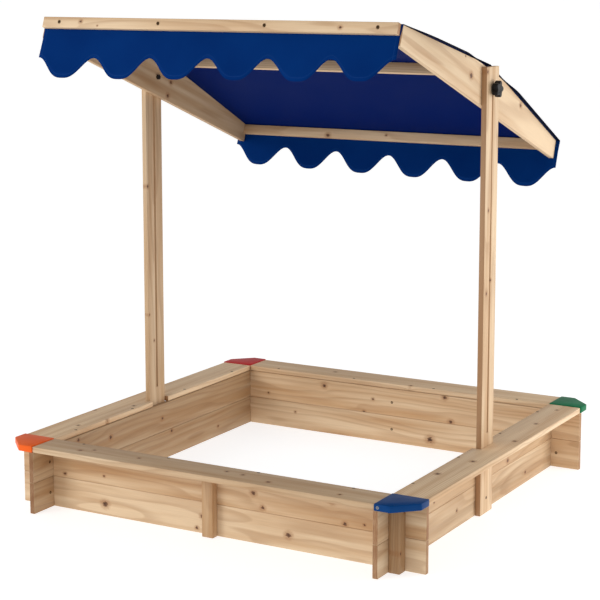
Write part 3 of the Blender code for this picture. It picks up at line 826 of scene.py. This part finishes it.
def make_cover():
    rows = 2 * (SLOPE_STEPS + VALANCE_STEPS)
    bm = bmesh.new()
    weave = bm.loops.layers.uv.new("cloth")
    bmesh.ops.create_grid(bm, x_segments=ACROSS_STEPS, y_segments=rows, size=1.0)
    on_cloth = {}
    for vert in bm.verts:
        across = vert.co.x
        row = round((vert.co.y + 1) / 2 * rows) - rows // 2
        side = 1 if row > 0 else -1
        if abs(row) <= SLOPE_STEPS:
            part, share = "slope", abs(row) / SLOPE_STEPS
        else:
            part, share = "valance", (abs(row) - SLOPE_STEPS) / VALANCE_STEPS
        vert.co = cover_point(across, side, part, share)
        down_path = END * share if part == "slope" else END + FOLD_HEIGHT - vert.co.z
        on_cloth[vert] = (across * HALF_WIDTH, side * down_path)
    for face in bm.faces:
        for loop in face.loops:
            loop[weave].uv = on_cloth[loop.vert]
    bmesh.ops.recalc_face_normals(bm, faces=bm.faces)
    up = sum(face.normal.z * face.calc_area() for face in bm.faces)
    if up < 0:
        bmesh.ops.reverse_faces(bm, faces=bm.faces)
    area = sum(face.calc_area() for face in bm.faces)
    bm.transform(TO_CANOPY)
    return bm, area


# %% [markdown]
# Coated polyester is a tight plain weave under a thin film: the threads show only as a faint
# regular bump, and the film gives a broad soft shine. Cloth that faces down is a deeper blue,
# partly because the inside has no film and partly as painted shade under the canopy. A dark tape
# binds the side edges of the slopes.

# %% Cloth
THREAD_PITCH = 0.0016
HEM = 0.009             # from an edge to its row of stitches
STITCH = 0.0032
STITCH_HALF_WIDTH = 0.0006
# Deeper blue for cloth that faces down: partly the unfilmed inside's own colour, partly painted
# shade.
OUTER_BLUE = (linear(3, 52, 118), linear(1, 36, 96))
UNDERSIDE_BLUE_AND_SHADE = linear(0, 25, 88)
TAPE = linear(2, 12, 38)
THREAD = linear(38, 74, 134)


def to_hem(tree, x, y):
    """Metres from the scalloped edge: the hem's own formula, written in nodes."""
    across = calc(tree, "DIVIDE", x, HALF_WIDTH)
    turns = calc(tree, "MULTIPLY_ADD", across, math.pi * LOBES / 2, math.pi * LOBES / 2)
    wave = calc(tree, "POWER", calc(tree, "ABSOLUTE", calc(tree, "COSINE", turns)), 3.0)
    rear = calc(tree, "GREATER_THAN", y, 0.0)
    notch, skew, drop = (calc(tree, "MULTIPLY_ADD", rear, pair[1] - pair[-1], pair[-1])
                         for pair in (NOTCH, SKEW, LOBE_DROP))
    level = calc(tree, "ADD", notch, calc(tree, "MULTIPLY", skew, across))
    lobe = calc(tree, "MULTIPLY", drop, calc(tree, "SUBTRACT", 1.0, wave))
    edge = calc(tree, "ADD", calc(tree, "ADD", level, lobe), END + FOLD_HEIGHT)
    return calc(tree, "SUBTRACT", edge, calc(tree, "ABSOLUTE", y))


def stitches(tree, distance, along):
    """A row of stitches at one hem's width from an edge, 1 on the thread."""
    row = calc(tree, "COMPARE", distance, HEM, STITCH_HALF_WIDTH)
    dash = calc(tree, "SINE", calc(tree, "MULTIPLY", along, 2 * math.pi / STITCH))
    return calc(tree, "MULTIPLY", row, step_between(tree, dash, -0.5, 0.0))


def cloth():
    material, tree, shader = new_material("coated_polyester")
    cloth_uv = add_node(tree, "UVMap", uv_map="cloth").outputs[0]
    split = add_node(tree, "SeparateXYZ", {"Vector": cloth_uv}).outputs
    threads = 2 * math.pi / THREAD_PITCH
    warp = calc(tree, "SINE", calc(tree, "MULTIPLY", split[0], threads))
    weft = calc(tree, "SINE", calc(tree, "MULTIPLY", split[1], threads))
    weave = calc(tree, "MULTIPLY", warp, weft)
    soft = noise_at(tree, cloth_uv, 6.0, 3.0)[0]
    dye = mix_colours(tree, soft, *OUTER_BLUE)
    normal = add_node(tree, "TexCoord").outputs["Normal"]
    # Cloth facing down turns a deeper blue: partly the inside's own colour, partly painted shade
    # under the canopy.
    inside = step_between(tree, vector_calc(tree, "DOT_PRODUCT", normal, (0, 0, -1)), 0.3, 0.7)
    dye = mix_colours(tree, inside, dye, UNDERSIDE_BLUE_AND_SHADE)

    to_side = calc(tree, "SUBTRACT", HALF_WIDTH, calc(tree, "ABSOLUTE", split[0]))
    slope = calc(tree, "LESS_THAN", calc(tree, "ABSOLUTE", split[1]), END)
    tape = calc(tree, "MULTIPLY", step_between(tree, to_side, HEM, HEM + 0.002, 1.0, 0.0), slope)
    dye = mix_colours(tree, tape, dye, TAPE)
    from_hem = to_hem(tree, split[0], split[1])
    thread = calc(tree, "MAXIMUM", stitches(tree, from_hem, split[0]),
                  stitches(tree, to_side, split[1]))
    dye = mix_colours(tree, calc(tree, "MULTIPLY", thread, 0.6), dye, THREAD)
    tree.links.new(dye, shader.inputs["Base Color"])
    tree.links.new(calc(tree, "MULTIPLY_ADD", soft, 0.16, 0.44), shader.inputs["Roughness"])
    shader.inputs["Specular IOR Level"].default_value = 0.012
    folded = step_between(tree, from_hem, HEM + 0.0010, HEM + 0.0016, 1.0, 0.0)
    relief = calc(tree, "MULTIPLY_ADD", soft, 3.0, weave)
    relief = calc(tree, "MULTIPLY_ADD", folded, 1.5, relief)
    bump(tree, shader, calc(tree, "MULTIPLY_ADD", thread, 2.0, relief), 0.25, 0.0003)
    return material


cover_mesh, cover_area = make_cover()
cover = finish_piece("cover", cover_mesh, "canopy", cloth(), ("canopy_cover",))
thickness = cover.modifiers.new("cloth thickness", "SOLIDIFY")
thickness.thickness = COVER_THICK
thickness.offset = 0.0
thickness.use_even_offset = True

# %% [markdown]
# ## Floor and light
# A plain pale floor that runs to the horizon under an even white sky, which lights the object at
# half the strength it is seen at, and two soft lamps. A small one stands low behind the right
# side, so the right faces are bright and the corners on the front stay dark. A large one to the
# front left lights the front faces and the valance. The floor glows a little by itself, so that
# it stays white where the lamps don't reach.

# %% Stage
SKY_LIGHT = 0.5          # what the sky gives the object; it is seen at full white
FLOOR_HALF = 120.0
FLOOR_GLOW = 0.735

bpy.context.scene.view_settings.view_transform = "Standard"
world = bpy.data.worlds.new("studio")
world.use_nodes = True
sky = world.node_tree.nodes["Background"].inputs
sky["Color"].default_value = (1.0, 1.0, 1.0, 1.0)
seen = add_node(world.node_tree, "LightPath").outputs["Is Camera Ray"]
feed(world.node_tree, sky["Strength"], calc(world.node_tree, "MULTIPLY_ADD", seen,
                                                  1 - SKY_LIGHT, SKY_LIGHT))
bpy.context.scene.world = world


def soft_lamp(name, place, aim, size, watts):
    data = bpy.data.lights.new(name, "AREA")
    data.shape = "SQUARE"
    data.size = size
    data.energy = watts
    lamp = bpy.data.objects.new(name, data)
    lamp.location = place
    lamp.rotation_euler = (Vector(aim) - Vector(place)).to_track_quat("-Z", "Y").to_euler()
    bpy.context.collection.objects.link(lamp)


soft_lamp("side", (2.3, 1.2, 0.8), (0.5, 0, 0.5), 1.3, 24)
soft_lamp("front", (-3.0, -4.3, 2.3), (0, 0, 0.4), 2.2, 92)

floor_mesh = bpy.data.meshes.new("floor")
bm = bmesh.new()
bmesh.ops.create_grid(bm, x_segments=1, y_segments=1, size=FLOOR_HALF)
bm.to_mesh(floor_mesh)
bm.free()
floor_material, floor_tree, floor_shader = new_material("pale_floor")
floor_shader.inputs["Base Color"].default_value = (0.5, 0.5, 0.5, 1.0)
floor_shader.inputs["Roughness"].default_value = 0.7
floor_shader.inputs["Emission Color"].default_value = (1.0, 1.0, 1.0, 1.0)
floor_shader.inputs["Emission Strength"].default_value = FLOOR_GLOW
floor_mesh.materials.append(floor_material)
floor = bpy.data.objects.new("floor", floor_mesh)
floor.location.z = -0.0005
bpy.context.collection.objects.link(floor)
